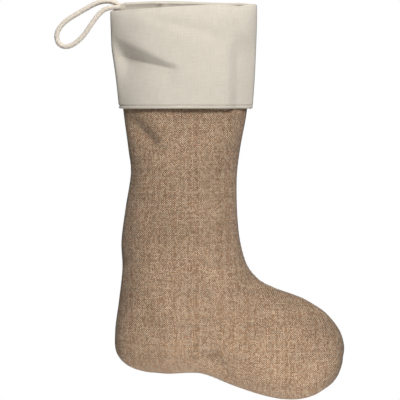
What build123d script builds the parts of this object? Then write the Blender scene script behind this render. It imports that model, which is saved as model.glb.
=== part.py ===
# Hanging stocking: a lined fabric stocking with a folded cotton cuff and a cord loop to hang it by.
#
# Frame: millimetres, +Z up towards the mouth, +X from the heel side to the toe, Y through the thickness.
# The origin is the root of the hanging loop, where both ends of the cord fold over the cuff's rim.
# The stocking is modelled filled out, as when it holds gifts. Its two long seams lie in the plane Y = 0:
# the back seam runs down the calf, round the heel and along the sole, and the front seam runs down the
# shin and over the instep. They meet at the toe. Each panel of cloth reaches from one seam to the other.
from build123d import *
from math import cos, pi, sin
import os

# Cloth
SHELL_CLOTH = 1.0  # thickness of the coarse outer fabric
LINING_CLOTH = 0.5  # thickness of the cotton lining
CUFF_CLOTH = 1.2  # thickness of the cuff's cotton twill, interlined
LAYER_GAP = 0.3  # clearance between two layers of cloth
SEAM_GAP = 0.1  # clearance between a front and a back panel where they are sewn together

# Section shape: half thickness = depth * (1 - |u| ** FULLNESS) ** ROUNDNESS, with u from -1 to 1 across
FULLNESS = 2.2
ROUNDNESS = 0.6
SECTION_STEPS = (0.0, 0.02, 0.09, 0.25, 0.5, 0.75, 0.91, 0.98, 1.0)

# Stations of the leg and foot, from the mouth to the toe:
# back seam (x, z), front seam (x, z), half thickness at the middle of the section
BODY_STATIONS = [
    ((-9, -8), (148.5, -1), 25.2),
    ((-7, -37), (147.3, -33), 26.5),
    ((-4.5, -75), (145, -75), 29),
    ((0, -118), (142, -118), 31.5),
    ((6, -164), (134.5, -160), 34),
    ((8.5, -190), (130.5, -194), 35.5),
    ((2.5, -229), (131, -236), 36),
    ((-2.5, -268), (134.5, -269), 37),
    ((-1.5, -300), (142.5, -296), 38.5),
    ((-5.5, -337), (156.5, -313), 40),
    ((-10, -372), (174.5, -322.5), 41),
    ((-8, -399), (193, -329), 41.5),
    ((10.5, -416), (207, -334.5), 41.5),
    ((45.5, -422), (218.5, -341), 41),
    ((88.5, -422), (230.5, -349), 40),
    ((128.5, -437), (240.5, -359), 38.5),
    ((164.5, -448.5), (249, -371), 36),
    ((195.5, -452.5), (253.5, -382.5), 32),
    ((221, -447), (255, -394), 26),
    ((239.5, -434.5), (253, -405.5), 17),
    ((246, -426.5), (251.5, -411.5), 9.5),
    ((248.6, -421), (250.4, -416), 3.5),
]
MOST_SLANT = 0.5  # least cosine between a panel's end and the line square to its seam
LINING_TOE = ((243, -429.5), (251.2, -410), 10.5)  # where the lining stops, just short of the toe
LINING_STATIONS = [*BODY_STATIONS[:-2], LINING_TOE]
FACING_STATIONS = 2  # how many of them the cuff's inner facing reaches down past

# Stations of the cuff's outer face, from the hem up to the rim, in the same form
CUFF_STATIONS = [
    ((-5, -115.5), (148.5, -115.5), 36),
    ((-8.5, -81), (151, -81), 34.5),
    ((-13.5, -46), (152.5, -46), 32),
    ((-14.5, -21), (153.5, -19), 29.5),
    ((-15, -6.6), (153.5, 1.4), 27),
]
RIM_ROUND = 2.6  # how far the fold at the rim rises above the last of them
RIM_STEPS = 6  # steps in the round of the fold
HEM_HEIGHT = 8  # the turned-up hem along the cuff's lower edge
HEM_CLOTH = 0.8  # what the turned-up layer adds to the cuff's thickness
HEM_STEP = 0.4  # height over which that layer ends

# Hanging loop: braided cotton cord
CORD = 5.0  # diameter
CORD_Y = 2.6  # each strand's distance from the middle plane at the root
TAIL = 4.7  # diameter of the sewn ends, squeezed by the thread that holds them
TAIL_LENGTH = 22  # length of each sewn end, down inside the mouth
KNUCKLE_WIDTH = 4.4  # width of the round that each strand turns on
ROUTE_SHARE = 0.45  # share of the shorter run that an arc of the route takes
LOOP_ROUTE = [
    (-2.35, CORD_Y, 1.35),
    (-13, 2.8, 8.0),
    (-29, 3.0, 6.6),
    (-49, 3.0, -4.2),
    (-68, 2.5, -15.0),
    (-79, 1.5, -28.0),
    (-77, 0.2, -42.0),
    (-64, -1.0, -46.0),
    (-48, -2.0, -35.0),
    (-37, -2.4, -18.0),
    (-25, -2.6, -3.0),
    (-14, -2.6, 0.8),
    (-2.7, -CORD_Y, 0.0),
]

# Sewing thread
THREAD = 0.7  # diameter
SEAM_PITCH = 6.0  # from one modelled stitch of a seam to the next
SEAM_LENGTH = 2.0  # length of a seam stitch, across the two cloths that it joins
TOPSTITCH_PITCH = 4.0  # from one stitch of the cuff's topstitch to the next
TOPSTITCH_LENGTH = 3.0  # the part of that which shows as thread
TOPSTITCH_HEIGHT = 4.5  # height of the topstitch above the cuff's lower edge
MOUTH_SEAM = 3.0  # height of the seam round the mouth above the facing's lower edge
TACK_BARS = 6  # bars of thread that hold the sewn ends of the cord
TACK_PITCH = 2.6  # height between them


def point(xz, y=0.0):
    """A point at a station's (x, z)."""
    return Vector(xz[0], y, xz[1])


def unit(v):
    """v at length 1."""
    return v * (1 / v.length)


def between(a, b, share):
    """The station that lies share of the way from station a to station b."""

    def mix(p, q):
        return p + (q - p) * share

    backs = (mix(a[0][0], b[0][0]), mix(a[0][1], b[0][1]))
    fronts = (mix(a[1][0], b[1][0]), mix(a[1][1], b[1][1]))
    return backs, fronts, mix(a[2], b[2])


def inset_seam(stations, which, inset):
    """The points of one seam, which 0 or 1, moved by inset towards the other seam and square to it.

    The first and the last move along their sections instead, which keeps the ends of a panel flat."""
    here = [point(station[which]) for station in stations]
    there = [point(station[1 - which]) for station in stations]
    moved = []
    last = len(here) - 1
    for i, place in enumerate(here):
        inward = unit(there[i] - place)
        square = unit((here[min(i + 1, last)] - here[max(i - 1, 0)]).cross(Vector(0, 1, 0)))
        if square.dot(inward) < 0:
            square = square * -1
        slant = max(square.dot(inward), MOST_SLANT)
        moved.append(place + (square if 0 < i < last else inward * (1 / slant)) * inset)
    return moved


def inset_stations(stations, inset):
    """The stations of a layer of cloth that lies inset inside the given ones."""
    backs = inset_seam(stations, 0, inset)
    fronts = inset_seam(stations, 1, inset)
    return [
        ((b.X, b.Z), (f.X, f.Z), station[2] - inset)
        for b, f, station in zip(backs, fronts, stations)
    ]


def across(station, side):
    """The curve across a panel at a station, from the back seam to the front seam."""
    back, front, depth = station
    start, end = point(back), point(front)
    points = []
    for step in SECTION_STEPS:
        u = abs(2 * step - 1)
        bulge = depth * max(0.0, 1 - u**FULLNESS) ** ROUNDNESS
        points.append(start + (end - start) * step + Vector(0, side * (bulge + SEAM_GAP / 2), 0))
    return Spline(points)


def panel(outer, inner, side):
    """The panel of cloth between two faces, on side -1 (front) or 1 (back)."""
    sections = []
    for a, b in zip(outer, inner):
        face, lining = across(a, side), across(b, side)
        edges = [face, Line(face @ 1, lining @ 1), lining, Line(lining @ 0, face @ 0)]
        sections.append(Wire(edges))
    return Solid.make_loft(sections, True)


def layer(stations, outer_inset, cloth, side):
    """A panel that follows the stations, with its outer face at outer_inset."""
    outer = inset_stations(stations, outer_inset)
    inner = inset_stations(stations, outer_inset + cloth)
    return panel(outer, inner, side)


def raised(station, height):
    """The station moved up by height."""
    (bx, bz), (fx, fz), depth = station
    return (bx, bz + height), (fx, fz + height), depth


def rim(outside, inside, height):
    """The stations of the fold's round, from the outside wall over to the inside wall."""
    turned = []
    for step in range(1, RIM_STEPS):
        angle = pi * step / RIM_STEPS
        station = between(outside, inside, (1 - cos(angle)) / 2)
        turned.append(raised(station, height * sin(angle)))
    return turned


def cuff_panel(side):
    """One panel of the cuff: its hem, the outer wall, the fold at the rim and the facing inside."""
    wall, thin, thick = CUFF_STATIONS, CUFF_CLOTH, CUFF_CLOTH + HEM_CLOTH
    height = wall[1][0][1] - wall[0][0][1]
    hem_top = between(wall[0], wall[1], HEM_HEIGHT / height)
    above_hem = between(wall[0], wall[1], (HEM_HEIGHT + HEM_STEP) / height)
    lower = inset_stations([wall[0], hem_top, wall[1]], thick)[:2]
    upper = inset_stations([above_hem, *wall[1:]], thin)
    top = BODY_STATIONS[0]
    level = ((top[0][0], wall[-1][0][1]), (top[1][0], wall[-1][1][1]), top[2])
    facing = [level, *BODY_STATIONS[1:FACING_STATIONS]]
    shown_face = inset_stations(facing, FACING_INSET + thin)
    hidden_face = inset_stations(facing, FACING_INSET)
    shown = [wall[0], hem_top, above_hem, *wall[1:], *rim(wall[-1], shown_face[0], RIM_ROUND), *shown_face]
    hidden = [*lower, *upper, *rim(upper[-1], hidden_face[0], RIM_ROUND - thin), *hidden_face]
    return panel(shown, hidden, side)


LINING_INSET = SHELL_CLOTH + LAYER_GAP
FACING_INSET = LINING_INSET + LINING_CLOTH + LAYER_GAP


def bar(centre, direction, length, diameter=THREAD):
    """A straight piece of thread."""
    plane = Plane(origin=centre - unit(direction) * (length / 2), z_dir=direction)
    return plane * Cylinder(diameter / 2, length, align=(Align.CENTER, Align.CENTER, Align.MIN))


def spaced(line, pitch):
    """Points at about pitch along a line of points, with the ends left out."""
    path = Polyline(line)
    count = int(path.length / pitch)
    return [path @ ((i + 0.5) / count) for i in range(count)]


def seam_thread(stations, inset):
    """The stitches of both long seams of a pair of panels, each across the seam."""
    points = []
    for which in (0, 1):
        points += spaced(inset_seam(stations, which, inset), SEAM_PITCH)
    return Compound(children=[bar(p, Vector(0, 1, 0), SEAM_LENGTH) for p in points])


def rows_round(station, pitch, length, through):
    """Stitches round a section: along the cloth, or through it."""
    bars = []
    for side in (-1, 1):
        edge = across(station, side)
        count = int(edge.length / pitch)
        for i in range(count):
            t = (i + 0.5) / count
            along = edge % t
            direction = along.cross(Vector(0, 0, 1)) if through else along
            bars.append(bar(edge @ t, direction, length))
    return Compound(children=bars)


def loop_path():
    """The cord's path round the loop: straight runs joined by tangent arcs."""
    points = [Vector(*p) for p in LOOP_ROUTE]
    radii = []
    for a, b, c in zip(points, points[1:], points[2:]):
        turn = (b - a).get_angle(c - b)
        share = ROUTE_SHARE * min((b - a).length, (c - b).length)
        radii.append(share / abs(sin(turn * pi / 360) / cos(turn * pi / 360)))
        print("turn", round(turn, 1), "radius", round(radii[-1], 1))
    return FilletPolyline(points, radius=radii)


def hanging_loop():
    """The free part of the cord, which turns on the two sewn ends."""
    path = loop_path()
    disc = Plane(origin=path @ 0, z_dir=path % 0) * Circle(CORD / 2)
    tube = sweep(disc, path)
    print("loop length", round(path.length, 1))
    print("volume", round(tube.volume), "section x length", round(pi * CORD**2 / 4 * path.length))
    return tube


def loop_tails():
    """The two ends of the cord, down inside the mouth, each with the round that the loop turns on."""
    tails = []
    for side in (-1, 1):
        knuckle = Pos(0, side * CORD_Y, 0) * Rot(X=90) * Cylinder(CORD / 2, KNUCKLE_WIDTH)
        end = Pos(0, side * CORD_Y, -TAIL_LENGTH / 2) * Cylinder(TAIL / 2, TAIL_LENGTH)
        tails.append(knuckle + end)
    return Compound(children=tails)


def tack():
    """The bars of thread across both ends of the cord, into the facing on each side."""
    corner = inset_stations(BODY_STATIONS[:2], FACING_INSET + CUFF_CLOTH)[0]
    share = (0 - corner[0][0]) / (corner[1][0] - corner[0][0])
    reach = corner[2] * (1 - abs(2 * share - 1) ** FULLNESS) ** ROUNDNESS
    bars = []
    for i in range(TACK_BARS):
        z = -TAIL_LENGTH + (i + 1) * TACK_PITCH
        bars.append(bar(Vector(0, 0, z), Vector(0, 1, 0), 2 * (reach + CUFF_CLOTH)))
    return Compound(children=bars)


def keep(shape, name):
    """Writes one node."""
    export_step(shape, f"parts/{name}.step")
    print(name, len(shape.solids()), "solids", round(shape.volume), "mm3", "valid", shape.is_valid)


os.makedirs("parts", exist_ok=True)

for side, word in ((-1, "front"), (1, "back")):
    keep(layer(BODY_STATIONS, 0, SHELL_CLOTH, side), f"shell_{word}")
    keep(layer(LINING_STATIONS, LINING_INSET, LINING_CLOTH, side), f"lining_{word}")
    keep(cuff_panel(side), f"cuff_{word}")

keep(hanging_loop(), "hanging_loop")
keep(loop_tails(), "loop_tails")
keep(tack(), "loop_tack_thread")
keep(seam_thread(BODY_STATIONS[:-1], SHELL_CLOTH / 2), "shell_seam_thread")
keep(seam_thread(LINING_STATIONS[:-2], LINING_INSET + LINING_CLOTH / 2), "lining_seam_thread")

cuff_low, cuff_next = CUFF_STATIONS[:2]
cuff_rise = cuff_next[0][1] - cuff_low[0][1]
topstitch_line = between(cuff_low, cuff_next, TOPSTITCH_HEIGHT / cuff_rise)
keep(rows_round(topstitch_line, TOPSTITCH_PITCH, TOPSTITCH_LENGTH, False), "cuff_hem_topstitch")

for which, word in ((0, "heel_side"), (1, "toe_side")):
    line = inset_seam(CUFF_STATIONS, which, CUFF_CLOTH / 2)
    stitches = [bar(p, Vector(0, 1, 0), SEAM_LENGTH) for p in spaced(line, SEAM_PITCH)]
    keep(Compound(children=stitches), f"cuff_seam_thread_{word}")

facing_low, facing_next = BODY_STATIONS[FACING_STATIONS - 1], BODY_STATIONS[FACING_STATIONS - 2]
facing_rise = facing_next[0][1] - facing_low[0][1]
mouth_line = between(facing_low, facing_next, MOUTH_SEAM / facing_rise)
layers = FACING_INSET + CUFF_CLOTH
mouth_line = inset_stations([mouth_line, facing_low], layers / 2)[0]
keep(rows_round(mouth_line, SEAM_PITCH, layers - SEAM_GAP, True), "mouth_seam_thread")
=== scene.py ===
"""Hanging stocking: the finished cloth, cord and stitching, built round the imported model. Metres."""
import math

import bmesh
import bpy
import numpy as np
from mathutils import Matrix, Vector
from mathutils.bvhtree import BVHTree


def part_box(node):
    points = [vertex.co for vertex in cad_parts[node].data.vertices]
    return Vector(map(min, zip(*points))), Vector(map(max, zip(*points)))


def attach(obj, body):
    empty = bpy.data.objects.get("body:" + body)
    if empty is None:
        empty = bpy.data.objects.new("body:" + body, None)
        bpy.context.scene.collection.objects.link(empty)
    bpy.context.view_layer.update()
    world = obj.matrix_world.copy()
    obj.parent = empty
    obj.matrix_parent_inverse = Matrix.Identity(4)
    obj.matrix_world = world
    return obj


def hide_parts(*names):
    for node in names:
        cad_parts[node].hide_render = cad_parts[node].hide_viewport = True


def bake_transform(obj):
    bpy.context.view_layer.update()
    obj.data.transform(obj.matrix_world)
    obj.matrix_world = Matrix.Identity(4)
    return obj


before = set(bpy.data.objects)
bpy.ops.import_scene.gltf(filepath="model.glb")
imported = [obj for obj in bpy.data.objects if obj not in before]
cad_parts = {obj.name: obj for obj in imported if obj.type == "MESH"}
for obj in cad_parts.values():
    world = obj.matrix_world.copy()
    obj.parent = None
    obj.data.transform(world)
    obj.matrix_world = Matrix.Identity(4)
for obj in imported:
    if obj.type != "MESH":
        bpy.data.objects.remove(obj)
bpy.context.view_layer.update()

MM = 0.001

# Camera: a long lens, looking along +Y from a little above
LENS = 200.0
SENSOR = 36.0
FRAME_WIDTH = 0.4608
AIM = Vector((0.0881, 0.0, -0.2208))
ELEVATION = math.radians(4)

# The floor lies far below, out of the camera's view
FLOOR = -1.3
FLOOR_REACH = 6.0
FLOOR_BACK = 3.5
DAYLIGHT = 0.13
LIGHTS = (
    ("key", (0.32, -1.05, 1.05), (0.08, 0, -0.25), 0.5, 28, (1, 0.985, 0.96)),
    ("floor_glow", (0.15, -0.28, -0.62), (0.13, 0, -0.42), 0.3, 1.25, (1, 0.98, 0.95)),
    ("back_fill", (0.09, 1.8, 0.2), (0.09, 0, -0.22), 0.5, 8, (1, 0.985, 0.96)),
)  # name, place, aim, size, power and colour

# Cloth, as the CAD's. A panel's section is a superellipse of this fullness and roundness
FULLNESS = 2.2
ROUNDNESS = 0.6
SHELL_CLOTH = 1.0 * MM
LINING_CLOTH = 0.5 * MM
CUFF_CLOTH = 1.2 * MM

# The cut of each panel before sewing: width, length and area
SHELL_CUT = (0.294, 0.469, 0.088)
LINING_CUT = (0.290, 0.455, 0.084)
CUFF_CUT = (0.208, 0.175, 0.031)

# Leg and foot
MIDDLE = 70 * MM  # the middle of the leg, across
FOOT_LEVEL = -370 * MM
TOE_TIP = 0.15 * MM  # half thickness where the panels close
SHELL_ROWS, SHELL_COLS = 230, 92
LINING_ROWS, LINING_COLS = 150, 60
LINING_IN = 1.5 * MM
LINING_TOP = 0.35  # where the lining starts and how much sooner it ends, in the CAD's stations
LINING_SHORT = 2.2
RASTER_STEP = 2 * MM
STEEPEST = 2.5  # slope at which the flat length stops growing, beside the seams
SEAM_TURN = 2.2 * MM  # cloth turned in at a seam
SEAM_GAP = 0.12 * MM  # half the gap between the two panels

# Cuff
CUFF_STATIONS = 9
CUFF_COLS = 180
NEAR_SEAM = -0.3 * MM
RIM_RADIUS = 2.3 * MM
RIM_IN = 5.6 * MM
RIM_ROUND = 1.15  # the rim's height over its radius
FACING = 34 * MM
HEM = 8 * MM
HEM_ROUND = 1.5 * MM
HEM_TURN = 7  # rows of the turned-up hem
HEM_ROLL = 6  # rows round its lower edge
WALL_ROWS = 110
RIM_ROWS = 13
FACING_ROWS = 34
SURE_WALL = slice(30, 90)  # rows that are on the outer wall
SHOULDER = 13 * MM  # the height over which the cuff rounds in towards its rim
SHOULDER_IN = 2.4 * MM
CUFF_EDGE = 5 * MM  # how fast the cuff's folds die out toward its side seams
CUFF_LEAST = CUFF_CLOTH + 0.6 * MM  # the cuff's least distance from the middle plane
CUFF_TURN = 1.6 * MM
WEDGE_SOFT = 0.04  # how softly a wedge-shaped fold starts
WEDGE_THINNING = 0.74  # how much shallower it is at its end
WEDGE_FADE = 11  # how far it runs on past its end, in millimetres

# The row of stitches along the hem
STITCH_LINE = 4.2 * MM
STITCH_PITCH = 2.9 * MM
STITCH_LENGTH = 2.2 * MM
STITCH_THREAD = 0.6 * MM

# Weaves
LINEN_PITCH = 1.3 * MM
TWILL_PITCH = 0.8 * MM
TWILL_WEFT = 0.55 * MM
LINING_PITCH = 0.55 * MM
THREAD_TWIST = 0.5 * MM

# Cord
CORD = 5.0 * MM
CORD_Y = 2.6 * MM
TAIL = 22 * MM
BRAID_PITCH = 12 * MM  # once round
STRANDS = 4  # each way round
STRAND_WIDE = 2.7 * MM
STRAND_THICK = 1.35 * MM
BRAID_MIDDLE = CORD / 2 - 0.42 * MM
BRAID_WEAVE = 0.36 * MM
CORE = CORD - 1.6 * MM
WHIP_TURNS = 9
WHIP_PITCH = 0.8 * MM
WHIP_THREAD = 0.6 * MM
HAIRS = 14
HAIR = 0.16 * MM
LOOP_ROUTE = [
    (-2.35, 2.6, 1.35), (-13, 2.8, 8.0), (-29, 3.0, 6.6), (-48, 3.0, -4.2), (-66.5, 2.5, -15.0),
    (-77, 1.5, -28.0), (-75, 0.2, -42.0), (-63, -1.0, -46.0), (-47, -2.0, -35.0), (-36, -2.4, -18.0),
    (-24, -2.6, -3.0), (-14, -2.6, 0.4), (-2.7, -2.6, 0.0),
]  # in millimetres


# ---------------- helpers


def smooth(edge0, edge1, x):
    """0 below edge0, 1 above edge1, smooth between."""
    t = np.clip((x - edge0) / (edge1 - edge0), 0, 1)
    return t * t * (3 - 2 * t)


def lattice(seed, size=64):
    """A square of repeatable random numbers from -1 to 1."""
    return np.random.default_rng(seed).uniform(-1, 1, (size, size))


def noise(x, y, seed):
    """Smooth value noise of unit wavelength, from -1 to 1."""
    grid = lattice(seed)
    size = len(grid)
    xi, yi = np.floor(x).astype(int), np.floor(y).astype(int)
    fx, fy = x - xi, y - yi
    fx, fy = fx * fx * (3 - 2 * fx), fy * fy * (3 - 2 * fy)
    a = grid[xi % size, yi % size]
    b = grid[(xi + 1) % size, yi % size]
    c = grid[xi % size, (yi + 1) % size]
    d = grid[(xi + 1) % size, (yi + 1) % size]
    return (a * (1 - fx) + b * fx) * (1 - fy) + (c * (1 - fx) + d * fx) * fy


def spline(points, params):
    """Catmull-Rom through rows of points, at params counted in points."""
    points = np.asarray(points, float)
    last = len(points) - 1
    i = np.clip(np.floor(params).astype(int), 0, last - 1)
    t = (params - i)[:, None]
    if points.ndim == 1:
        points = points[:, None]
    p0, p1 = points[np.maximum(i - 1, 0)], points[i]
    p2, p3 = points[i + 1], points[np.minimum(i + 2, last)]
    square = (2 * p0 - 5 * p1 + 4 * p2 - p3) * t**2
    cube = (3 * p1 - p0 - 3 * p2 + p3) * t**3
    return 0.5 * (2 * p1 + (p2 - p0) * t + square + cube)


def across_panel(cols):
    """Places across a panel from 0 to 1, closer together at its seams, and how far it stands out there."""
    even = np.linspace(0, 1, cols)
    step = 0.5 * even + 0.5 * (1 - np.cos(np.pi * even)) / 2
    u = np.abs(2 * step - 1)
    return step, np.maximum(0, 1 - u**FULLNESS) ** ROUNDNESS


def run_along(line):
    """The length run at each point of a line."""
    return np.concatenate([[0], np.cumsum(np.linalg.norm(np.diff(line, axis=0), axis=-1))])


def mesh_object(name, verts, faces, grain):
    """A smooth mesh in the scene, with each point's place on its flat cloth or thread in "grain"."""
    mesh = bpy.data.meshes.new(name)
    mesh.from_pydata(verts, [], faces)
    layer = mesh.attributes.new("grain", "FLOAT_VECTOR", "POINT")
    layer.data.foreach_set("vector", np.array(grain, float).ravel())
    mesh.shade_smooth()
    obj = bpy.data.objects.new(name, mesh)
    bpy.context.scene.collection.objects.link(obj)
    return obj


def grid_mesh(name, points, flat):
    """A mesh from a grid of points, rows by columns, and their places on the flat cloth."""
    rows, cols = points.shape[:2]
    index = np.arange(rows * cols).reshape(rows, cols)
    quads = np.stack([index[:-1, :-1], index[:-1, 1:], index[1:, 1:], index[1:, :-1]], -1).reshape(-1, 4)
    grain = np.concatenate([flat, np.zeros((rows, cols, 1))], axis=-1)
    return mesh_object(name, points.reshape(-1, 3).tolist(), quads.tolist(), grain)


def face_out(obj, toward):
    """Turns the faces so that they look toward the given direction, on the whole."""
    total = sum((p.normal * p.area for p in obj.data.polygons), Vector())
    if total.dot(Vector(toward)) < 0:
        obj.data.flip_normals()
    return obj


def apply(obj, kind, **settings):
    """Adds a modifier and applies it."""
    modifier = obj.modifiers.new(kind.lower(), kind)
    for key, value in settings.items():
        setattr(modifier, key, value)
    graph = bpy.context.evaluated_depsgraph_get()
    seen = obj.evaluated_get(graph)
    mesh = bpy.data.meshes.new_from_object(seen, preserve_all_data_layers=True, depsgraph=graph)
    obj.modifiers.remove(modifier)
    old = obj.data
    obj.data = mesh
    bpy.data.meshes.remove(old)
    obj.data.shade_smooth()
    return obj


def seam_lines(node):
    """The outer edges of a shell panel along its two seams, from the mouth to the toe, in (x, z)."""
    mesh = bmesh.new()
    mesh.from_mesh(node.data)
    bmesh.ops.remove_doubles(mesh, verts=mesh.verts, dist=2e-6)
    flat = {f for f in mesh.faces if all(abs(v.co.y) < 8e-5 for v in f.verts)}
    beside = {}
    for edge in mesh.edges:
        if sum(f in flat for f in edge.link_faces) == 1:
            for a, b in (edge.verts, reversed(edge.verts)):
                beside.setdefault(a, []).append(b)
    lines = []
    while beside:
        top = max(v.co.z for v in beside)
        ends = [v for v in beside if v.co.z > top - 0.2 * MM]
        loop = [max(ends, key=lambda v: abs(v.co.x - MIDDLE))]
        while True:
            ahead = [v for v in beside[loop[-1]] if v not in loop]
            if not ahead:
                break
            loop.append(max(ahead, key=lambda v: (v.co - loop[-1].co).length))
        lines.append([(v.co.x, v.co.z) for v in loop[: len(loop) // 2]])
        for v in loop:
            del beside[v]
    mesh.free()
    lines.sort(key=lambda line: line[0][0])
    return np.array(lines[0]), np.array(lines[1])


def tree_of(*names):
    """A tree for casting rays at CAD nodes."""
    verts, faces = [], []
    for name in names:
        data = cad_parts[name].data
        base = len(verts)
        verts += [v.co.copy() for v in data.vertices]
        faces += [[base + i for i in p.vertices] for p in data.polygons]
    return BVHTree.FromPolygons(verts, faces)


def stage_material(name, colour):
    material = bpy.data.materials.new(name)
    material.use_nodes = True
    shader = material.node_tree.nodes["Principled BSDF"]
    shader.inputs["Base Color"].default_value = (*colour, 1)
    shader.inputs["Roughness"].default_value = 0.9
    return material


# ---------------- the leg and foot


BACK_LINE, FRONT_LINE = seam_lines(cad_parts["shell_front"])
SHELL_TREE = tree_of("shell_front")


def depth_at(x, z):
    """Half thickness of the CAD shell at a place, by a ray along +Y."""
    hit = SHELL_TREE.ray_cast(Vector((x, -0.5, z)), Vector((0, 1, 0)))[0]
    return -hit.y if hit else 0.0


STATION_DEPTH = np.array([depth_at(*((b + f) / 2)) for b, f in zip(BACK_LINE, FRONT_LINE)])
STATION_DEPTH[-1] = TOE_TIP


def shell_surface(rows, cols, side, inset=0.0, first=0.0, last=None):
    """Points of a panel over rows along the seams and cols across, from the CAD's stations."""
    count = len(BACK_LINE)
    steps = [np.linalg.norm(np.diff(line, axis=0), axis=1) for line in (BACK_LINE, FRONT_LINE)]
    run = np.concatenate([[0], np.cumsum(steps[0] + steps[1])])
    last = count - 1 if last is None else last
    want = np.linspace(run[0], run[-1], rows)
    params = np.interp(want, run, np.arange(count))
    params = first + params * (last - first) / (count - 1)
    back, front = spline(BACK_LINE, params), spline(FRONT_LINE, params)
    depth = spline(STATION_DEPTH, params)[:, 0]
    chord = front - back
    width = np.linalg.norm(chord, axis=1, keepdims=True)
    back, front = back + chord / width * inset, front - chord / width * inset
    step, bulge = across_panel(cols)
    place = back[:, None] * (1 - step)[None, :, None] + front[:, None] * step[None, :, None]
    y = side * np.maximum(depth - inset, MM)[:, None] * bulge[None]
    return np.stack([place[..., 0], y, place[..., 1]], -1)


def raster():
    """The shell's half thickness on a grid in (x, z), and how far each place is along the flat cloth."""
    low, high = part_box("shell_front")
    step = RASTER_STEP
    xs = np.arange(low.x - step, high.x + 2 * step, step)
    zs = np.arange(low.z - step, high.z + 2 * step, step)
    depth = np.array([[depth_at(x, z) for z in zs] for x in xs])
    inside = depth > 0
    slope_x = np.where(inside, np.clip(np.gradient(depth, step, axis=0), -STEEPEST, STEEPEST), 0)
    slope_z = np.where(inside, np.clip(np.gradient(depth, step, axis=1), -STEEPEST, STEEPEST), 0)
    along_x = np.cumsum(np.sqrt(1 + slope_x**2), axis=0) * step
    along_z = np.cumsum(np.sqrt(1 + slope_z**2), axis=1) * step
    along_x -= along_x[np.searchsorted(xs, MIDDLE)][None, :]
    along_z -= along_z[:, np.searchsorted(zs, FOOT_LEVEL)][:, None]
    return xs, zs, along_x, along_z


def sample(xs, zs, table, x, z):
    """Bilinear look-up in a raster."""
    step = xs[1] - xs[0]
    fx = np.clip((x - xs[0]) / step, 0, len(xs) - 1.001)
    fz = np.clip((z - zs[0]) / step, 0, len(zs) - 1.001)
    i, k = fx.astype(int), fz.astype(int)
    fx, fz = fx - i, fz - k
    near = table[i, k] * (1 - fz) + table[i, k + 1] * fz
    far = table[i + 1, k] * (1 - fz) + table[i + 1, k + 1] * fz
    return near * (1 - fx) + far * fx


RASTER = raster()


def flat_place(points):
    """Where each point of a panel lies on the flat cloth, in metres: its grain coordinates."""
    xs, zs, along_x, along_z = RASTER
    middle = points.shape[1] // 2
    x, z = points[:, middle, 0], points[:, middle, 2]
    start = np.stack([sample(xs, zs, along_x, x, z), sample(xs, zs, along_z, x, z)], -1)
    step = np.diff(points, axis=1)
    flat = step[..., [0, 2]]
    flat = flat / np.maximum(np.linalg.norm(flat, axis=-1, keepdims=True), 1e-9)
    run = np.cumsum(flat * np.linalg.norm(step, axis=-1, keepdims=True), axis=1)
    run = np.concatenate([np.zeros_like(run[:, :1]), run], axis=1)
    return start[:, None] + run - run[:, middle : middle + 1]


def crease(points, line, width, depth, fade, skew=0.0):
    """How far the cloth dips along a line of (x, z) in millimetres: a soft valley that fades at its ends and
    is wider on the left of its line by the skew. A negative depth makes a ridge."""
    line = np.asarray(line, float) * MM
    x, z = points[..., 0], points[..., 2]
    nearest = np.full(x.shape, 1e9)
    offset = np.zeros(x.shape)
    share = np.zeros(x.shape)
    lengths = np.linalg.norm(np.diff(line, axis=0), axis=1)
    total, done = lengths.sum(), 0.0
    for (ax, az), (bx, bz), length in zip(line[:-1], line[1:], lengths):
        dx, dz = (bx - ax) / length, (bz - az) / length
        t = np.clip((x - ax) * dx + (z - az) * dz, 0, length)
        px, pz = x - ax - t * dx, z - az - t * dz
        away = np.hypot(px, pz)
        closer = away < nearest
        nearest = np.where(closer, away, nearest)
        offset = np.where(closer, px * -dz + pz * dx, offset)
        share = np.where(closer, (done + t) / total, share)
        done += length
    span = width * MM * (1 + skew * np.sign(offset))
    window = smooth(0, fade, share) * smooth(0, fade, 1 - share)
    return depth * MM * np.exp(-((nearest / span) ** 2)) * window


def under_cuff(points, side):
    """The dips that the leg's cloth shares with the cuff over it."""
    x, z = points[..., 0], points[..., 2]
    from_seam = np.minimum(x - x.min(axis=1, keepdims=True), x.max(axis=1, keepdims=True) - x)
    edge = 1 - np.exp(-from_seam / CUFF_EDGE)
    return cuff_folds(x / MM, z / MM, side) * smooth(-122, -100, z / MM) * edge


def normals_of(points):
    """Unit normals of a grid of points."""
    normal = np.cross(np.gradient(points, axis=1), np.gradient(points, axis=0))
    return normal / np.maximum(np.linalg.norm(normal, axis=-1, keepdims=True), 1e-12)


def outward_of(points, side, rows=slice(None)):
    """Unit normals of a panel, turned to look outward over the given rows."""
    normal = normals_of(points)
    return -normal if (normal[rows, :, 1] * side).sum() < 0 else normal


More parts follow.
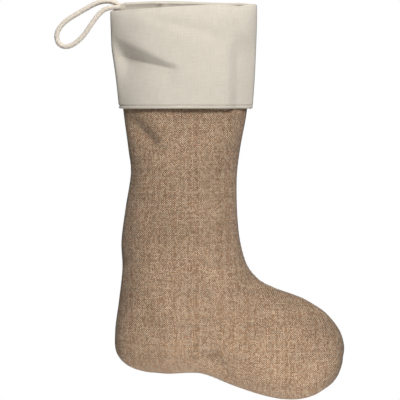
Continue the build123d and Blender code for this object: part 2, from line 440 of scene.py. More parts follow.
# The creases of the leg and foot, by side: line, width, depth, fade and skew
CREASES = {
    -1: [
        ([(0, -122), (18, -138), (44, -164)], 10, 5.4, 0.3, -0.25),
        ([(20, -122), (40, -136), (58, -152)], 12, -1.6, 0.3, 0),
        ([(134, -190), (112, -206), (95, -228)], 14, 4.2, 0.35, 0),
        ([(100, -390), (111, -405), (124, -428)], 8, 9.5, 0.2, -0.62),
        ([(70, -392), (90, -397), (112, -404)], 8, 3.4, 0.3, 0),
        ([(92, -410), (102, -418), (112, -430)], 8, -2.8, 0.3, 0),
    ],
    1: [
        ([(6, -150), (30, -168), (60, -176)], 12, 3.2, 0.3, 0),
        ([(128, -232), (104, -246), (84, -262)], 11, 3.0, 0.35, 0),
        ([(60, -398), (82, -404), (96, -416)], 7, 2.8, 0.3, 0),
    ],
}
ANKLE_LINES = [
    [(142, -292), (112, -286), (72, -292)], [(144, -298), (118, -304), (86, -326)],
    [(150, -305), (130, -322), (110, -352)], [(140, -284), (120, -270), (94, -262)],
    [(160, -313), (150, -336), (142, -368)],
]
ANKLE_WIDTH, ANKLE_DEPTH, ANKLE_FADE = 4.6, 0.9, 0.4


def shell_folds(points, side):
    """The dips and ridges of the leg and foot, in metres inward."""
    x, z = points[..., 0] / MM, points[..., 2] / MM
    seed = 11 if side < 0 else 23
    dip = 0.9 * MM * noise(x / 46, z / 60, seed) + 0.35 * MM * noise(x / 19, z / 24, seed + 1)
    for line, width, depth, fade, skew in CREASES[side]:
        dip += crease(points, line, width, depth, fade, skew)
    for i, line in enumerate(ANKLE_LINES):
        dip += crease(points, line, ANKLE_WIDTH, ANKLE_DEPTH + 0.25 * (i % 2), ANKLE_FADE)
    edge = np.sin(np.pi * np.linspace(0, 1, points.shape[1]))[None] ** 0.5
    return dip * smooth(-96, -118, z) * edge + under_cuff(points, side)


def seam_pucker(points, side):
    """Small gathers beside the seams, as the thread draws the cloth in."""
    rows, cols = points.shape[:2]
    step = np.linalg.norm(np.diff(points, axis=1), axis=-1)
    from_back = np.concatenate([np.zeros((rows, 1)), np.cumsum(step, axis=1)], axis=1)
    from_front = from_back[:, -1:] - from_back
    dip = np.zeros((rows, cols))
    for column, away, seed in ((0, from_back, 31), (-1, from_front, 47)):
        line = points[:, column]
        run = run_along(line)
        wave = noise(run / (7 * MM), np.full(rows, 0.5 + side), seed)
        wave += 0.6 * noise(run / (16 * MM), np.full(rows, 3.5), seed)
        toe = smooth(-380 * MM, -420 * MM, line[:, 2]) * smooth(200 * MM, 240 * MM, line[:, 0])
        toe *= smooth(0, 12 * MM, run[-1] - run)
        near = np.exp(-away / (9 * MM)) * (1 - np.exp(-away / (1.5 * MM)))
        dip += ((0.55 + 0.8 * toe) * MM * wave)[:, None] * near
    return dip


def turned_in(points, flat, side, reach):
    """Adds the edges that are turned in at the seams, so that a groove shows between the panels."""
    mid = points.mean(axis=1, keepdims=True)[:, 0]
    first, last = [], []
    for k in (2, 1):
        for edge, store in ((points[:, 0], first), (points[:, -1], last)):
            toward = mid - edge
            toward[:, 1] = 0
            toward /= np.maximum(np.linalg.norm(toward, axis=1, keepdims=True), 1e-9)
            store.append(edge + toward * reach * k / 2)
    full = np.concatenate([np.stack(first, 1), points, np.stack(last[::-1], 1)], axis=1)
    grown = np.concatenate([flat[:, :1], flat[:, :1], flat, flat[:, -1:], flat[:, -1:]], axis=1)
    full[:, :, 1] += side * SEAM_GAP
    return full, grown


def shell_panel(name, side):
    points = shell_surface(SHELL_ROWS, SHELL_COLS, side)
    flat = flat_place(points)
    dip = shell_folds(points, side) + seam_pucker(points, side)
    points = points - outward_of(points, side) * dip[..., None]
    points[..., 1] = side * np.maximum(points[..., 1] * side, 0)
    points, flat = turned_in(points, flat, side, SEAM_TURN)
    obj = face_out(grid_mesh(name, points, flat), (0, side, 0))
    apply(obj, "SOLIDIFY", thickness=SHELL_CLOTH, offset=-1)
    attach(obj, "stocking")
    return obj


def lining_panel(name, side):
    last = len(BACK_LINE) - LINING_SHORT
    points = shell_surface(LINING_ROWS, LINING_COLS, side, LINING_IN, LINING_TOP, last)
    flat = flat_place(points)
    points = points - outward_of(points, side) * shell_folds(points, side)[..., None]
    obj = face_out(grid_mesh(name, points, flat), (0, side, 0))
    apply(obj, "SOLIDIFY", thickness=LINING_CLOTH, offset=-1)
    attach(obj, "stocking")
    return obj


# ---------------- the cuff


CUFF_TREE = tree_of("cuff_front")
CUFF_LOW, CUFF_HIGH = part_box("cuff_front")


def rim_height(x):
    """The height of the CAD cuff's rim at a place across."""
    return CUFF_TREE.ray_cast(Vector((x, -1.5 * MM, 0.1)), Vector((0, 0, -1)))[0].z


RIM_BACK = rim_height(CUFF_LOW.x + 5 * MM)
RIM_FRONT = rim_height(CUFF_HIGH.x - 5 * MM)


def cuff_station(share):
    """The cuff's outer wall at a share of its height: heel-side (x, z), toe-side (x, z), half thickness."""
    back_z = CUFF_LOW.z + (RIM_BACK - RIM_RADIUS - CUFF_LOW.z) * share
    front_z = CUFF_LOW.z + (RIM_FRONT - RIM_RADIUS - CUFF_LOW.z) * share
    lift = 0.5 * MM if share == 0 else 0
    back = CUFF_TREE.ray_cast(Vector((-0.3, NEAR_SEAM, back_z + lift)), Vector((1, 0, 0)))[0]
    front = CUFF_TREE.ray_cast(Vector((0.5, NEAR_SEAM, front_z + lift)), Vector((-1, 0, 0)))[0]
    middle = Vector(((back.x + front.x) / 2, -0.3, (back_z + front_z) / 2 + lift))
    depth = -CUFF_TREE.ray_cast(middle, Vector((0, 1, 0)))[0].y
    return (back.x, back_z, front.x, front_z, depth)


CUFF_WALL = np.array([cuff_station(share) for share in np.linspace(0, 1, CUFF_STATIONS)])
CUFF_HEIGHT = CUFF_WALL[-1, 1] - CUFF_WALL[0, 1]
STITCH_ROW = HEM_TURN + HEM_ROLL + round((STITCH_LINE - HEM_ROUND) / CUFF_HEIGHT * WALL_ROWS)


def cuff_rings():
    """The rings of the cuff's cloth, from the turned-up hem, round the lower edge, up the wall, over the rim
    and down the facing: part, place up the wall (0 to 1), inset from the outer face, and extra height."""
    rings = []
    for k in np.linspace(1, 0, HEM_TURN):
        rings.append(("hem", 0.0, 2 * HEM_ROUND, HEM_ROUND + (HEM - HEM_ROUND) * k))
    for angle in np.linspace(0, math.pi, HEM_ROLL + 2)[1:-1]:
        rings.append(("hem", 0.0, HEM_ROUND * (1 + math.cos(angle)), HEM_ROUND * (1 - math.sin(angle))))
    for k in np.linspace(0, 1, WALL_ROWS):
        rings.append(("wall", (HEM_ROUND + (CUFF_HEIGHT - HEM_ROUND) * k) / CUFF_HEIGHT, 0.0, 0.0))
    for angle in np.linspace(0, math.pi, RIM_ROWS + 2)[1:-1]:
        above = RIM_RADIUS * RIM_ROUND * math.sin(angle)
        rings.append(("rim", 1.0, RIM_IN / 2 * (1 - math.cos(angle)), above))
    for k in np.linspace(0, 1, FACING_ROWS):
        rings.append(("facing", 1.0 - FACING * k / CUFF_HEIGHT, RIM_IN, 0.0))
    return rings


def crown(step, share, side):
    """How far the cuff's edges rise between the side seams."""
    if side < 0:
        rim = 1.5 * np.sin(np.pi * step**1.25) - 2.2 * np.exp(-(((step - 0.9) / 0.08) ** 2))
        hem = 0.8 * np.sin(np.pi * step) ** 0.8
    else:
        rim = 7.4 * (1 - smooth(0.25, 1.0, step)) + 1.8
        hem = 1.0 * np.sin(np.pi * step)
    ends = np.clip(np.minimum(step, 1 - step) / 0.08, 0, 1)
    return (hem * (1 - share) + rim * share**2) * ends * MM


def wedge(x, z, start, end, above, below, depth):
    """A fold with an even flank above its valley and a slow rise below it, dying out toward its end.
    above and below are the two flanks' widths, at the start and the end."""
    (ax, az), (bx, bz) = start, end
    length = math.hypot(bx - ax, bz - az)
    dx, dz = (bx - ax) / length, (bz - az) / length
    t = ((x - ax) * dx + (z - az) * dz) / length
    n = (x - ax) * -dz + (z - az) * dx
    tt = np.clip(t, 0, 1)
    wide = np.where(n > 0, above[0] + (above[1] - above[0]) * tt, below[0] + (below[1] - below[0]) * tt)
    rise = 1 - np.abs(n) / wide
    flank = 0.5 * (rise + np.sqrt(rise**2 + WEDGE_SOFT))
    profile = np.where(n > 0, flank, np.exp(-((np.abs(n) / wide) ** 1.6)))
    beyond = np.exp(-((np.maximum(t - 1, 0) * length / WEDGE_FADE) ** 2))
    strength = depth * (1 - WEDGE_THINNING * tt) * beyond * smooth(-0.25, 0.05, t)
    return strength * profile * MM


def cuff_folds(x, z, side):
    """The cuff's own folds, in metres inward, at places in millimetres."""
    seed = 61 if side < 0 else 73
    dip = 0.8 * MM * noise(x / 52, z / 44, seed) + 0.3 * MM * noise(x / 21, z / 19, seed + 1)
    if side < 0:
        dip += wedge(x, z, (-20, -54), (50, -68), (24, 6), (46, 20), 15.5)
        dip += 4.2 * MM * smooth(118, 134, x) * smooth(-24, -56, z)
        hollow = np.exp(-((((x - 70) * 0.25 + (z + 22)) / 7) ** 2))
        dip += 1.0 * MM * hollow * smooth(20, 50, x) * smooth(130, 90, x)
    else:
        dip += wedge(x, z, (158, -44), (104, -62), (8, 5), (20, 6), 5.0)
        dip += 2.2 * MM * smooth(26, 10, x) * smooth(-30, -60, z)
    return dip


def facing_pleats(x, deep, side):
    """Two pleats of the back panel's facing, which die out toward its lower edge."""
    if side < 0:
        return 0.0
    sharp = 4.2 * MM * np.exp(-(((x - 44 - 6 * deep) / 4.5) ** 2))
    soft = 1.0 * MM * np.exp(-(((x - 62 - 8 * deep) / 9) ** 2))
    return (sharp + soft) * smooth(1.1, 0.4, deep)


def stitch_dimples(row, up, edge):
    """The dimples along the row of stitches, and the soft roll of cloth below it."""
    near_line = np.exp(-(((up - STITCH_LINE) / (0.8 * MM)) ** 2))
    along = run_along(row)
    along -= along[len(row) // 2]
    holes = (0.5 - 0.5 * np.cos(2 * np.pi * along / STITCH_PITCH)) ** 2
    roll = 0.4 * MM * edge * np.exp(-(((up - 0.4 * STITCH_LINE) / (1.5 * MM)) ** 2))
    return (0.25 + 1.6 * holes) * MM * near_line - roll


def level_normals(row, side):
    """Unit normals of a ring in its own level plane, looking outward."""
    slope = np.gradient(row, axis=0)
    out = np.stack([slope[:, 1], -slope[:, 0], np.zeros(len(row))], -1)
    out /= np.maximum(np.linalg.norm(out, axis=1, keepdims=True), 1e-9)
    return out * np.where(out[:, 1:2] * side < 0, -1, 1)


def cuff_ring(part, share, inset, rise, step, bulge, side):
    """One ring of the cuff, with its folds, shoulder, pleats and stitching."""
    last = len(CUFF_WALL) - 1
    lift = crown(step, share, side)
    bx, bz, fx, fz, _ = spline(CUFF_WALL, np.array([share * last]))[0]
    level = np.clip(share + lift / CUFF_HEIGHT, 0, 1)
    depth = spline(CUFF_WALL[:, 4], level * last)[:, 0]
    x = (bx + inset) * (1 - step) + (fx - inset) * step
    z = bz * (1 - step) + fz * step + rise + lift
    row = np.stack([x, side * (depth - inset) * bulge, z], -1)
    from_seam = np.minimum(step, 1 - step) * (fx - bx)
    edge = 1 - np.exp(-from_seam / CUFF_EDGE)
    below_rim = (1 - share) * CUFF_HEIGHT
    dip = cuff_folds(x / MM, z / MM, side) * edge
    dip += SHOULDER_IN * max(0.0, 1 - below_rim / SHOULDER) ** 2 * edge
    if part == "facing":
        dip += facing_pleats(x / MM, below_rim / FACING, side)
    if part == "wall" and share < 0.3:
        dip += stitch_dimples(row, share * CUFF_HEIGHT, edge)
    row = row - level_normals(row, side) * dip[:, None]
    least = CUFF_LEAST * smooth(0, 4 * MM, from_seam)
    row[:, 1] = side * np.maximum(row[:, 1] * side, least)
    return row


def cuff_panel(name, side):
    """One panel of the cuff. Also gives its surface, flat places and normals, for the stitches."""
    step, bulge = across_panel(CUFF_COLS)
    points = np.stack([cuff_ring(*ring, step, bulge, side) for ring in cuff_rings()])
    centre = CUFF_COLS // 2
    up = run_along(points[:, centre])
    across = np.stack([run_along(row) for row in points])
    flat = np.stack([across - across[:, centre : centre + 1], np.repeat(up[:, None], CUFF_COLS, axis=1)], -1)
    stitch_panel = (points, flat, outward_of(points, side, SURE_WALL))
    points, flat = turned_in(points, flat, side, CUFF_TURN)
    obj = grid_mesh(name, points, flat)
    quads = points.shape[1] - 1
    wall = obj.data.polygons[SURE_WALL.start * quads : SURE_WALL.stop * quads]
    if sum(p.normal.y * side for p in wall) < 0:
        obj.data.flip_normals()
    apply(obj, "SOLIDIFY", thickness=CUFF_CLOTH, offset=-1)
    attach(obj, "stocking")
    return obj, stitch_panel


# ---------------- the cord


def cord_line():
    """The cord's centreline, as points read from the NURBS spline of its route."""
    off = CORD_Y / MM
    tail_a = [(0, off, -TAIL / MM), (0, off, -13), (0, off, -6), (0.4, off, -0.6)]
    tail_b = [(x, -y, z) for x, y, z in reversed(tail_a)]
    route = tail_a + LOOP_ROUTE + tail_b
    data = bpy.data.curves.new("cord_route", "CURVE")
    data.dimensions = "3D"
    nurbs = data.splines.new("NURBS")
    nurbs.points.add(len(route) - 1)
    for i, (x, y, z) in enumerate(route):
        nurbs.points[i].co = (x * MM, y * MM, z * MM, 1)
    nurbs.order_u = 3
    nurbs.use_endpoint_u = True
    nurbs.resolution_u = 24
    curve = bpy.data.objects.new("cord_route", data)
    bpy.context.scene.collection.objects.link(curve)
    graph = bpy.context.evaluated_depsgraph_get()
    mesh = bpy.data.meshes.new_from_object(curve.evaluated_get(graph), depsgraph=graph)
    line = np.array([v.co[:] for v in mesh.vertices])
    bpy.data.objects.remove(curve)
    bpy.data.meshes.remove(mesh)
    return line


def even_line(line, spacing):
    """A line of points again, at an even spacing."""
    run = run_along(line)
    want = np.linspace(0, run[-1], int(run[-1] / spacing) + 1)
    return np.stack([np.interp(want, run, line[:, k]) for k in range(3)], -1), want


def frames_along(line):
    """Two directions square to a line at each of its points, turning as little as they can."""
    ahead = np.gradient(line, axis=0)
    ahead /= np.linalg.norm(ahead, axis=1, keepdims=True)
    first = np.cross(ahead[0], (0, 1, 0) if abs(ahead[0][1]) < 0.9 else (1, 0, 0))
    sides = [first / np.linalg.norm(first)]
    for direction in ahead[1:]:
        side = sides[-1] - direction * (sides[-1] @ direction)
        sides.append(side / np.linalg.norm(side))
    sides = np.array(sides)
    return ahead, sides, np.cross(ahead, sides)


def tube_mesh(verts, faces, grain, line, wide, thick=None, around=7, broad=None, shift=0.0):
    """Adds a tube along a line to lists of verts and faces. broad gives the direction of its width."""
    thick = wide if thick is None else thick
    ahead, side, up = frames_along(line)
    if broad is not None:
        side = broad - ahead * (broad * ahead).sum(1, keepdims=True)
        side /= np.linalg.norm(side, axis=1, keepdims=True)
        up = np.cross(ahead, side)
    base = len(verts)
    run = run_along(line)
    wide = np.broadcast_to(wide, len(line))
    thick = np.broadcast_to(thick, len(line))
    for i in range(len(line)):
        for k in range(around):
            angle = 2 * math.pi * k / around
            outward = side[i] * (math.cos(angle) * wide[i] / 2) + up[i] * (math.sin(angle) * thick[i] / 2)
            verts.append(tuple(line[i] + outward))
            grain.append((run[i] + shift, k / around * (wide[i] + thick[i]) * 1.57, shift))
    for i in range(len(line) - 1):
        for k in range(around):
            a, b = base + i * around + k, base + i * around + (k + 1) % around
            faces.append((a, b, b + around, a + around))
    faces.append(tuple(base + k for k in reversed(range(around))))
    faces.append(tuple(base + (len(line) - 1) * around + k for k in range(around)))


def thread_piece(name, verts, faces, grain):
    obj = mesh_object(name, verts, faces, grain)
    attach(obj, "stocking")
    return obj


def braided_cord(line):
    """Eight flat strands, four each way round, passing over and under each other about a core."""
    line, run = even_line(line, 0.7 * MM)
    _, side, up = frames_along(line)
    squeeze = 1 - 0.1 * (smooth(-2 * MM, -6 * MM, line[:, 2]) * (abs(line[:, 0]) < 3 * MM))
    verts, faces, grain = [], [], []
    for turn in (1, -1):
        for k in range(STRANDS):
            angle = turn * 2 * math.pi * run / BRAID_PITCH + 2 * math.pi * k / STRANDS
            angle += 0.12 * noise(run / (9 * MM), np.full(len(run), 3.5 * k), 90 + k)
            weave = np.cos(4 * 2 * math.pi * run / BRAID_PITCH + math.pi * (k % 2)) * turn
            radius = (BRAID_MIDDLE + BRAID_WEAVE * weave) * squeeze
            out = side * np.cos(angle)[:, None] + up * np.sin(angle)[:, None]
            place = line + out * radius[:, None]
            wide = STRAND_WIDE * (1 + 0.06 * noise(run / (6 * MM), np.full(len(run), 7.5 * k), 95 + k))
            across = np.cross(np.gradient(place, axis=0), out)
            shift = 0.3 * (k + STRANDS * (turn > 0))
            tube_mesh(verts, faces, grain, place, wide, STRAND_THICK, 8, across, shift)
    tube_mesh(verts, faces, grain, line, CORE * squeeze, None, 10, None, 5.0)
    return mesh_object("braided_cord", verts, faces, grain), line


def whipping():
    """The thread wound round both ends of the cord where they are sewn in, with a few loose ends."""
    random = np.random.default_rng(17)
    verts, faces, grain = [], [], []
    for i in range(WHIP_TURNS):
        level = -3.4 * MM + WHIP_PITCH * i
        around = []
        lean = random.uniform(-0.7, 0.7) * MM
        grow = random.uniform(0.0, 0.35) * MM
        for angle in np.linspace(0, 2 * math.pi, 41):
            y = math.cos(angle) * (CORD / 2 + 0.45 * MM + grow)
            y += math.copysign(CORD_Y * min(1, abs(math.cos(angle)) * 3), math.cos(angle))
            z = -1.1 * MM + math.sin(angle) * (CORD + 0.35 * MM + grow)
            around.append((level + lean * math.sin(angle) + 0.3 * MM * math.sin(2 * angle), y, z))
        tube_mesh(verts, faces, grain, np.array(around), WHIP_THREAD, None, 6, None, 0.1 * i)
    for i in range(HAIRS):
        start = np.array([random.uniform(-3, 3), random.uniform(-5, 3), random.uniform(0.5, 4)]) * MM
        lean = np.array([random.uniform(-1, 1), random.uniform(-1.2, 0.6), random.uniform(0.2, 1.2)])
        curl = np.array([random.uniform(-1, 1), random.uniform(-1, 1), random.uniform(-1, 1)])
        steps = np.linspace(0, 1, 9)[:, None]
        hair = start + (lean * steps + curl * steps**2 * 0.6) * random.uniform(1.5, 3.4) * MM
        tube_mesh(verts, faces, grain, hair, HAIR, None, 4, None, 0.1 * i)
    return thread_piece("loop_whipping", verts, faces, grain)


# ---------------- stitching


def stitch(verts, faces, grain, start, end, out, diameter, shift):
    """One stitch from start to end on a surface that faces out: it dives in at both ends."""
    t = np.linspace(0, 1, 9)
    lift = np.clip(np.sin(np.pi * t), 0, 1) ** 0.55
    line = start + (end - start) * t[:, None] + out * (diameter * (0.95 * lift - 0.55))[:, None]
    tube_mesh(verts, faces, grain, line, diameter, None, 6, None, shift)


def topstitches(panels):
    """The row of stitches along the cuff's hem, laid on the finished cuff."""
    verts, faces, grain = [], [], []
    for points, flat, outward in panels:
        place, across, out = points[STITCH_ROW], flat[STITCH_ROW][:, 0], outward[STITCH_ROW]
        count = int((across[-1] - across[0] - 4 * MM) / STITCH_PITCH)
        for i in range(-(count // 2), count // 2 + 1):
            ends = (i * STITCH_PITCH - STITCH_LENGTH / 2, i * STITCH_PITCH + STITCH_LENGTH / 2)
            a = np.array([np.interp(ends[0], across, place[:, k]) for k in range(3)])
            b = np.array([np.interp(ends[1], across, place[:, k]) for k in range(3)])
            n = np.array([np.interp(i * STITCH_PITCH, across, out[:, k]) for k in range(3)])
            stitch(verts, faces, grain, a, b, n / np.linalg.norm(n), STITCH_THREAD, 0.01 * i)
    return thread_piece("cuff_topstitch", verts, faces, grain)


# ---------------- materials


class Nodes:
    """A short way to write a material's nodes."""

    def __init__(self, name, roughness, sheen=0.0):
        self.material = bpy.data.materials.new(name)
        self.material.use_nodes = True
        self.tree = self.material.node_tree
        self.shader = self.tree.nodes["Principled BSDF"]
        self.shader.inputs["Roughness"].default_value = roughness
        self.shader.inputs["Specular IOR Level"].default_value = 0.25
        self.shader.inputs["Sheen Weight"].default_value = sheen
        self.shader.inputs["Sheen Roughness"].default_value = 0.55

    def put(self, value, socket):
        if isinstance(value, bpy.types.NodeSocket):
            self.tree.links.new(value, socket)
        else:
            socket.default_value = value

    def math(self, operation, a, b=0.0, c=0.0):
        node = self.tree.nodes.new("ShaderNodeMath")
        node.operation = operation
        for value, socket in zip((a, b, c), node.inputs):
            self.put(value, socket)
        return node.outputs[0]

    def times(self, a, b):
        return self.math("MULTIPLY", a, b)

    def plus(self, a, b):
        return self.math("ADD", a, b)

    def grain(self):
        """The cloth's own coordinates, in metres along the warp and the weft."""
        node = self.tree.nodes.new("ShaderNodeAttribute")
        node.attribute_name = "grain"
        parts = self.tree.nodes.new("ShaderNodeSeparateXYZ")
        self.tree.links.new(node.outputs["Vector"], parts.inputs[0])
        return parts.outputs[0], parts.outputs[1], parts.outputs[2]

    def place(self):
        """Places on the object itself, in metres."""
        node = self.tree.nodes.new("ShaderNodeTexCoord")
        parts = self.tree.nodes.new("ShaderNodeSeparateXYZ")
        self.tree.links.new(node.outputs["Object"], parts.inputs[0])
        return parts.outputs[0], parts.outputs[1], parts.outputs[2]

    def vector(self, x, y, z=0.0):
        node = self.tree.nodes.new("ShaderNodeCombineXYZ")
        for value, socket in zip((x, y, z), node.inputs):
            self.put(value, socket)
        return node.outputs[0]

    def noise(self, x, y, z=0.0, detail=2.0, rough=0.5):
        node = self.tree.nodes.new("ShaderNodeTexNoise")
        node.inputs["Scale"].default_value = 1.0
        node.inputs["Detail"].default_value = detail
        node.inputs["Roughness"].default_value = rough
        self.tree.links.new(self.vector(x, y, z), node.inputs["Vector"])
        return node.outputs["Fac"]

    def chance(self, x, y=0.0):
        """A random number for each pair of whole numbers."""
        node = self.tree.nodes.new("ShaderNodeTexWhiteNoise")
        node.noise_dimensions = "2D"
        self.tree.links.new(self.vector(x, y), node.inputs["Vector"])
        return node.outputs["Value"]

    def ramp(self, value, *stops):
        node = self.tree.nodes.new("ShaderNodeValToRGB")
        elements = node.color_ramp.elements
        while len(elements) < len(stops):
            elements.new(0.5)
        for element, (position, colour) in zip(elements, stops):
            element.position = position
            element.color = (*colour, 1)
        self.put(value, node.inputs["Fac"])
        return node.outputs["Color"]

    def blend(self, share, a, b, kind="MIX"):
        node = self.tree.nodes.new("ShaderNodeMix")
        node.data_type = "RGBA"
        node.blend_type = kind
        self.put(share, node.inputs["Factor"])
        for value, socket in ((a, node.inputs[6]), (b, node.inputs[7])):
            self.put((*value, 1) if isinstance(value, tuple) else value, socket)
        return node.outputs[2]

    def shaded(self, colour, share):
        """A colour made lighter or darker by a number."""
        return self.blend(1.0, colour, self.vector(share, share, share), "MULTIPLY")

    def between(self, value, low, high, to_low=0.0, to_high=1.0):
        node = self.tree.nodes.new("ShaderNodeMapRange")
        for item, socket in zip((value, low, high, to_low, to_high), node.inputs):
            self.put(item, socket)
        return node.outputs[0]

    def rough(self, value, low, high):
        self.put(self.between(value, 0.3, 0.7, low, high), self.shader.inputs["Roughness"])

    def finish(self, colour, height, depth, strength=1.0):
        self.put(colour, self.shader.inputs["Base Color"])
        bump = self.tree.nodes.new("ShaderNodeBump")
        bump.inputs["Distance"].default_value = depth
        bump.inputs["Strength"].default_value = strength
        self.put(height, bump.inputs["Height"])
        self.tree.links.new(bump.outputs[0], self.shader.inputs["Normal"])
        return self.material


def weave(n, gx, gz, pitch, wander, seed):
    """A plain weave: the height of its threads, which thread is on top, and both threads' numbers."""
    drift = n.noise(n.times(gx, 38), n.times(gz, 38), seed, 1.0)
    sway = n.noise(n.times(gx, 38), n.times(gz, 38), seed + 9.0, 1.0)
    a = n.math("MULTIPLY_ADD", gx, 1 / pitch, n.times(drift, wander))
    b = n.math("MULTIPLY_ADD", gz, 1 / pitch, n.times(sway, wander))
    warp_id = n.math("FLOOR", a)
    weft_id = n.math("FLOOR", b)
    warp_round = n.math("ABSOLUTE", n.math("SINE", n.times(a, math.pi)))
    weft_round = n.math("ABSOLUTE", n.math("SINE", n.times(b, math.pi)))
    both = n.plus(warp_id, weft_id)
    turn = n.math("SUBTRACT", both, n.times(n.math("FLOOR", n.times(both, 0.5)), 2))
    over = n.math("SUBTRACT", n.times(turn, 2), 1)
    warp_high = n.times(n.math("POWER", warp_round, 0.6),
                       n.math("MULTIPLY_ADD", n.times(over, weft_round), 0.45, 0.55))
    weft_high = n.times(n.math("POWER", weft_round, 0.6),
                       n.math("MULTIPLY_ADD", n.times(over, warp_round), -0.45, 0.55))
    height = n.math("MAXIMUM", warp_high, weft_high)
    on_top = n.math("GREATER_THAN", warp_high, weft_high)
    return height, on_top, warp_id, weft_id


def linen():
    """Coarse plain weave of uneven brown, tan and grey-beige yarns, with painted shade in the gaps between
    them.
    """
    n = Nodes("coarse_linen", 0.88, 0.12)
    gx, gz, _ = n.grain()
    height, on_top, warp, weft = weave(n, gx, gz, LINEN_PITCH, 2.2, 3.0)
    tones = ((0.0, (0.165, 0.097, 0.055)), (0.3, (0.345, 0.183, 0.094)), (0.5, (0.47, 0.295, 0.176)),
             (0.72, (0.545, 0.40, 0.28)), (1.0, (0.78, 0.61, 0.44)))
    warp_slub = n.noise(n.times(warp, 7.31), n.times(gz, 130), 1.0, 2.0, 0.7)
    weft_slub = n.noise(n.times(gx, 130), n.times(weft, 5.77), 8.0, 2.0, 0.7)
    warp_tone = n.plus(n.times(n.chance(warp, 2.0), 0.26),
                       n.math("MULTIPLY_ADD", warp_slub, 1.1, 0.08))
    weft_tone = n.plus(n.times(n.chance(weft, 7.0), 0.26),
                       n.math("MULTIPLY_ADD", weft_slub, 1.1, -0.44))
    cell = n.math("MULTIPLY_ADD", n.chance(warp, weft), 0.56, -0.28)
    warp_colour = n.ramp(n.plus(warp_tone, cell), *tones)
    weft_colour = n.ramp(n.plus(weft_tone, cell), *tones)
    colour = n.blend(on_top, weft_colour, warp_colour)
    # Painted shade: the colour is darkened where the threads dip, in the gaps between them.
    gap_shade = n.between(height, 0.35, 0.70, 0.25, 1.0)
    colour = n.blend(1.0, colour, n.ramp(gap_shade, (0.0, (0.0, 0.0, 0.0)), (1.0, (1.0, 1.0, 1.0))), "MULTIPLY")
    large = n.noise(n.times(gx, 22), n.times(gz, 22), 4.0, 2.0)
    shade = n.between(large, 0.3, 0.7, 0.9, 1.1)
    colour = n.shaded(colour, shade)
    fibres = n.noise(n.times(gx, 3200), n.times(gz, 3200), 2.0, 2.0)
    relief = n.math("MULTIPLY_ADD", fibres, 0.18, height)
    n.rough(fibres, 0.8, 0.98)
    return n.finish(colour, relief, 0.35 * MM)


def twill():
    """Natural cotton twill: fine slanting ribs with painted shade in their valleys, soft mottling and a few
    seed flecks.
    """
    n = Nodes("cotton_twill", 0.85, 0.2)
    gx, gz, _ = n.grain()
    slant = n.plus(gx, n.times(gz, 0.62))
    drift = n.noise(n.times(gx, 60), n.times(gz, 60), 3.0, 1.0)
    phase = n.math("MULTIPLY_ADD", slant, 2 * math.pi / TWILL_PITCH, n.times(drift, 2.5))
    ribs = n.math("MULTIPLY_ADD", n.math("SINE", phase), 0.5, 0.5)
    cross = n.math("SINE", n.times(gz, 2 * math.pi / TWILL_WEFT))
    ribs = n.math("MULTIPLY_ADD", cross, 0.16, ribs)
    yarn_x = n.noise(n.times(gx, 900), n.times(gz, 60), 1.0, 3.0, 0.6)
    yarn_z = n.noise(n.times(gx, 60), n.times(gz, 900), 6.0, 3.0, 0.6)
    yarn = n.times(n.plus(yarn_x, yarn_z), 0.5)
    colour = n.ramp(yarn, (0.28, (0.61, 0.555, 0.47)), (0.5, (0.68, 0.625, 0.54)), (0.72, (0.74, 0.69, 0.61)))
    large = n.noise(n.times(gx, 45), n.times(gz, 45), 2.0, 3.0)
    shade = n.between(large, 0.3, 0.7, 0.985, 1.015)
    colour = n.shaded(colour, shade)
    spots = n.noise(n.times(gx, 420), n.times(gz, 420), 11.0, 0.0)
    fleck = n.between(spots, 0.82, 0.87, 0.0, 0.45)
    colour = n.blend(fleck, colour, (0.30, 0.19, 0.11))
    # Painted shade: the colour is darker in the valleys between the ribs.
    dark = n.between(ribs, 0.0, 1.0, 0.91, 1.01)
    colour = n.shaded(colour, dark)
    n.rough(yarn, 0.78, 0.92)
    return n.finish(colour, n.math("MULTIPLY_ADD", yarn, 0.8, ribs), 0.12 * MM, 0.9)


def lining_cotton():
    """Thin plain cotton, a little darker than the cuff, with painted shade between its threads."""
    n = Nodes("lining_cotton", 0.88, 0.1)
    gx, gz, _ = n.grain()
    height = weave(n, gx, gz, LINING_PITCH, 1.5, 5.0)[0]
    slub = n.noise(n.times(gx, 300), n.times(gz, 300), 2.0, 3.0)
    colour = n.ramp(slub, (0.3, (0.50, 0.43, 0.34)), (0.7, (0.64, 0.57, 0.47)))
    # Painted shade: the colour is darker where the weave dips, between its threads.
    dark = n.between(height, 0.3, 1.0, 0.88, 1.03)
    colour = n.shaded(colour, dark)
    n.rough(slub, 0.82, 0.94)
    return n.finish(colour, height, 0.1 * MM, 0.8)


def cord_cotton():
    """Soft unbleached cotton strands, with the fibres running along them."""
    n = Nodes("cord_cotton", 0.85, 0.25)
    along, around, shift = n.grain()
    fibre = n.noise(n.times(along, 260), n.times(around, 3400), shift, 3.0, 0.65)
    blotch = n.noise(n.times(along, 90), n.times(shift, 9), 3.0, 2.0)
    colour = n.ramp(fibre, (0.25, (0.56, 0.46, 0.36)), (0.5, (0.76, 0.69, 0.60)), (0.75, (0.88, 0.83, 0.75)))
    shade = n.between(blotch, 0.3, 0.7, 0.88, 1.08)
    colour = n.shaded(colour, shade)
    n.rough(fibre, 0.75, 0.93)
    return n.finish(colour, fibre, 0.12 * MM, 0.8)


def thread(name, dark, light):
    """Sewing thread, from its own place in space, so that it suits any piece."""
    n = Nodes(name, 0.6, 0.15)
    x, y, z = n.place()
    along = n.plus(n.plus(x, y), z)
    twist = n.math("SINE", n.times(along, 2 * math.pi / THREAD_TWIST))
    fuzz = n.noise(n.times(x, 3000), n.times(y, 3000), n.times(z, 3000), 2.0)
    # The colour is partly painted shade, darker in the grooves of the twist, and partly random tone from the
    # fuzz.
    tone = n.math("MULTIPLY_ADD", twist, 0.22, fuzz)
    n.rough(fuzz, 0.5, 0.7)
    return n.finish(n.ramp(tone, (0.25, dark), (0.75, light)), tone, 0.06 * MM, 0.7)


# ---------------- the pieces


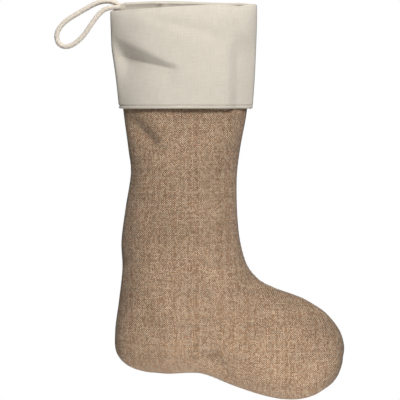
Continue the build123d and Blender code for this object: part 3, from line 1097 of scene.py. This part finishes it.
def dress(piece, material, slot, *nodes):
    """Gives a piece its material and hides the CAD nodes that it stands for. The slot is not used."""
    piece.data.materials.clear()
    piece.data.materials.append(material)
    if nodes:
        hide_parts(*nodes)


LINEN = linen()
TWILL = twill()
LINING = lining_cotton()
CORD_COTTON = cord_cotton()
CREAM_THREAD = thread("cream_thread", (0.55, 0.48, 0.39), (0.82, 0.77, 0.68))
TAN_THREAD = thread("tan_thread", (0.25, 0.17, 0.11), (0.48, 0.36, 0.26))

stitch_panels, sheets = [], []
for side, word in ((-1, "front"), (1, "back")):
    shell = shell_panel(f"shell_cloth_{word}", side)
    dress(shell, LINEN, "shell_linen", f"shell_{word}")
    lining = lining_panel(f"lining_cloth_{word}", side)
    dress(lining, LINING, "lining_cotton", f"lining_{word}")
    cuff, stitch_panel = cuff_panel(f"cuff_cloth_{word}", side)
    dress(cuff, TWILL, "cuff_twill", f"cuff_{word}")
    stitch_panels.append(stitch_panel)
    sheets.append((shell, SHELL_CUT, "braided_cord"))
    sheets.append((lining, LINING_CUT, shell.name))
    sheets.append((cuff, CUFF_CUT, shell.name))

stitches = topstitches(stitch_panels)
dress(stitches, CREAM_THREAD, "thread_cream", "cuff_hem_topstitch")

cord, cord_path = braided_cord(cord_line())
dress(cord, CORD_COTTON, "cord_cotton", "hanging_loop", "loop_tails")
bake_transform(cord)
wound = whipping()
dress(wound, CREAM_THREAD, "thread_cream")

THREAD_OF = {"shell_seam_thread": TAN_THREAD}
for name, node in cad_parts.items():
    if not node.hide_render:
        node.data.materials.clear()
        node.data.materials.append(THREAD_OF.get(name, CREAM_THREAD))


# ---------------- camera, lights and stage


def make_camera():
    data = bpy.data.cameras.new("camera")
    data.lens, data.sensor_width = LENS, SENSOR
    camera = bpy.data.objects.new("camera", data)
    distance = FRAME_WIDTH * LENS / SENSOR
    camera.location = AIM + Vector((0, -math.cos(ELEVATION), math.sin(ELEVATION))) * distance
    camera.rotation_euler = (math.pi / 2 - ELEVATION, 0, 0)
    data.clip_end = 50
    bpy.context.scene.collection.objects.link(camera)
    bpy.context.scene.camera = camera


def area_light(name, place, aim, size, power, colour):
    data = bpy.data.lights.new(name, "AREA")
    data.size, data.energy, data.color = size, power, colour
    light = bpy.data.objects.new(name, data)
    light.location = place
    light.rotation_euler = (Vector(aim) - Vector(place)).to_track_quat("-Z", "Y").to_euler()
    bpy.context.scene.collection.objects.link(light)


def stage_plane(name, points, material):
    mesh = bpy.data.meshes.new(name)
    mesh.from_pydata(points, [], [(0, 1, 2, 3)])
    mesh.materials.append(material)
    plane = bpy.data.objects.new(name, mesh)
    bpy.context.scene.collection.objects.link(plane)


def make_stage():
    pale = stage_material("pale_floor", (0.86, 0.86, 0.86))
    left, right, near, far = -FLOOR_REACH, FLOOR_REACH, -FLOOR_REACH, FLOOR_BACK
    corners = [(left, near, FLOOR), (right, near, FLOOR), (right, far, FLOOR), (left, far, FLOOR)]
    stage_plane("floor", corners, pale)


def make_light():
    """Soft daylight all round, which the camera sees as plain white, and the area lights."""
    world = bpy.data.worlds.new("studio")
    world.use_nodes = True
    tree = world.node_tree
    daylight = tree.nodes["Background"]
    daylight.inputs["Color"].default_value = (0.93, 0.96, 1.0, 1)
    daylight.inputs["Strength"].default_value = DAYLIGHT
    white = tree.nodes.new("ShaderNodeBackground")
    seen = tree.nodes.new("ShaderNodeLightPath")
    mix = tree.nodes.new("ShaderNodeMixShader")
    tree.links.new(seen.outputs["Is Camera Ray"], mix.inputs["Fac"])
    tree.links.new(daylight.outputs[0], mix.inputs[1])
    tree.links.new(white.outputs[0], mix.inputs[2])
    tree.links.new(mix.outputs[0], tree.nodes["World Output"].inputs["Surface"])
    white.inputs["Color"].default_value = (1, 1, 1, 1)
    bpy.context.scene.world = world
    for light in LIGHTS:
        area_light(*light)
    bpy.context.scene.view_settings.view_transform = "Standard"


make_camera()
make_light()
make_stage()
